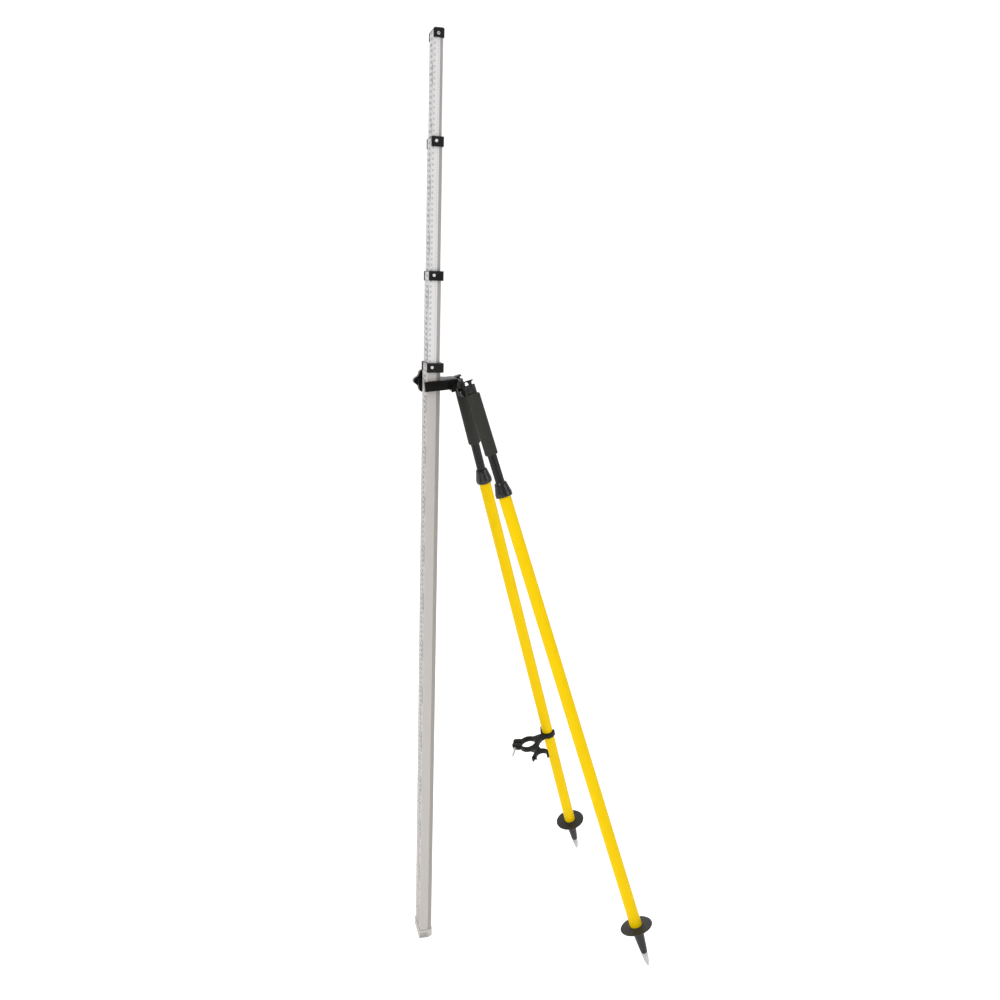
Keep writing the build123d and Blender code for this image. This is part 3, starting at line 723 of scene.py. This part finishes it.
for number, body in ((1, "rod"), (2, "section_2"), (3, "section_3")):
    softened(f"collar_{number}", body, finishes["black_plastic"], 0.4)
softened("top_cap", "section_4", finishes["black_plastic"], 0.3)
softened("base_shoe", "rod", finishes["shoe_plastic"], 0.25)
softened("clamp_body", "clamp", finishes["clamp_black"], 0.6)
softened("leg_clip", "clip", finishes["black_plastic"], 0.5)
for side in legs:
    softened(f"swivel_block_{side}", f"swivel_{side}", finishes["clamp_black"], 0.5)
    softened(f"leg_head_{side}", f"leg_{side}", finishes["head_plastic"], 0.3)
print("moulded pieces softened")

# %% [markdown]
# ## Finishes for the remaining pieces
#
# Everything that keeps its CAD shape takes the finish that its material slot names, so that no
# piece is left plain, not even the springs inside.  A few pieces have a finish of their own.

# %% Dress the CAD pieces
slot_of = {part["node"]: part["material_slot"] for part in frame["record"]["subparts"]}
own_finish = {**rod_finishes, "hinge_washers": finishes["dull_washer"]}
for side in legs:
    own_finish[f"outer_tube_{side}"] = yellow[side]
for name, node in nodes.items():
    material = own_finish.get(name) or finishes[slot_of[name]]
    node.data.materials.clear()
    node.data.materials.append(material)
    only(node)
    bpy.ops.object.shade_smooth_by_angle(angle=radians(32))
print("all CAD pieces dressed")

# %% [markdown]
# ## Floor, light and camera
#
# The object stands on a pale floor in front of a bright backdrop, under a large soft light from
# the front left, a weaker one from the right and one from above.  Soft light from all sides keeps
# the shadows short and lets the black pieces show their shape by reflection.

# %% Stage
pale = finish("Pale floor", (0.86, 0.86, 0.86), (0.9, 0.9, 0.9), (0.8, 0.95), 60, 0.02, gloss=0.1)
glow = pale.node_tree.nodes["Principled BSDF"]
glow.inputs["Emission Color"].default_value = (1, 1, 1, 1)
glow.inputs["Emission Strength"].default_value = 0.52

bpy.ops.object.select_all(action="DESELECT")
bpy.ops.mesh.primitive_plane_add(size=40)
floor = bpy.context.object
floor.name = "floor"
floor.data.materials.append(pale)


def area_light(name, where, towards, size, power):
    bpy.ops.object.light_add(type="AREA", location=where)
    light = bpy.context.object
    light.name = name
    light.data.size = size
    light.data.energy = power
    light.rotation_euler = (Vector(towards) - Vector(where)).to_track_quat("-Z", "Y").to_euler()
    return light


area_light("key", (2.2, -2.6, 3.2), (0, 0.1, 0.8), 2.2, 60)
area_light("fill", (2.4, 2.6, 2.2), (0, 0.2, 0.7), 2.0, 30)
area_light("top", (0.2, 0.2, 4.2), (0, 0.1, 0), 2.5, 30)

world = bpy.data.worlds.new("Studio")
bpy.context.scene.world = world
world.use_nodes = True
sky = world.node_tree
parts = sky.nodes.new("ShaderNodeSeparateXYZ")
direction = add_node(sky, "ShaderNodeTexCoord", output="Generated")
sky.links.new(direction.socket, parts.inputs[0])
backdrop = (Wire(parts.outputs[0]) * -1).ramp(-0.1, 0.5)
connect(sky, sky.nodes["Background"].inputs["Color"], (1.0, 1.0, 1.0))
connect(sky, sky.nodes["Background"].inputs["Strength"], backdrop * 0.7 + 0.4)
bpy.context.scene.view_settings.view_transform = "Standard"

turn, tilt, roll = radians(75.387), radians(11.79), radians(1.6615)
ahead = Vector((-sin(turn) * cos(tilt), cos(turn) * cos(tilt), -sin(tilt)))
level = Vector((cos(turn), sin(turn), 0))
above = level.cross(ahead)
right = cos(roll) * level + sin(roll) * above
top = cos(roll) * above - sin(roll) * level
bpy.ops.object.camera_add(location=(1.9769, -0.3711, 1.3792))
camera = bpy.context.object
camera.rotation_euler = Matrix((right, top, -ahead)).transposed().to_euler()
camera.data.sensor_width = 36
camera.data.lens = 37.116
bpy.context.scene.camera = camera
print("camera looks", [round(value, 3) for value in ahead])

# %% Done
print("scene ready")
